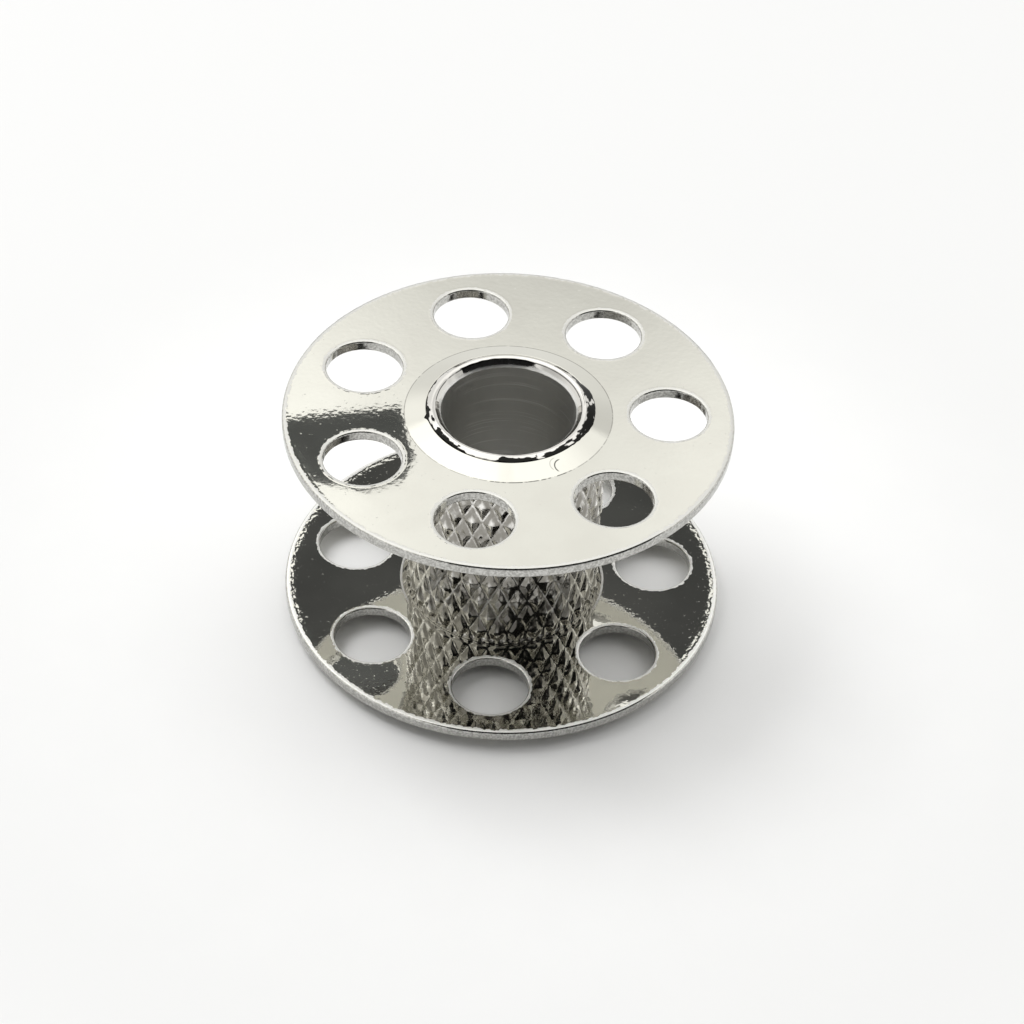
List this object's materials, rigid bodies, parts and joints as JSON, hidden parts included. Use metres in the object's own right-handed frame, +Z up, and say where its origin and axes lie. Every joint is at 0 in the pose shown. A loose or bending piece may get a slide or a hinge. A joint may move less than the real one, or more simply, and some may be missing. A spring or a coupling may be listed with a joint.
{
  "type": "sewing machine bobbin",
  "caption": "Metal sewing machine bobbin: a diamond-knurled tube with a spindle bore, and a round flange with a ring of holes swaged on each end to hold wound thread.",
  "frame": {"origin": "on the axis of the spindle bore, in the plane of the lower lip's crest, on which the bobbin stands", "axes": "+Z up along the spindle bore, towards the upper flange; +X close to one hole of the upper flange"},
  "size_m": [0.0204, 0.0204, 0.0116],
  "materials": {
    "hub_metal": "diamond knurled outside and turned in the bore, under a thin nickel plating",
    "flange_metal": "pressed and barrel polished, with a bright nickel plating"
  },
  "bodies": {
    "root": {"hub": "hub_metal", "upper_flange": "flange_metal", "lower_flange": "flange_metal"}
  },
  "joints": []
}
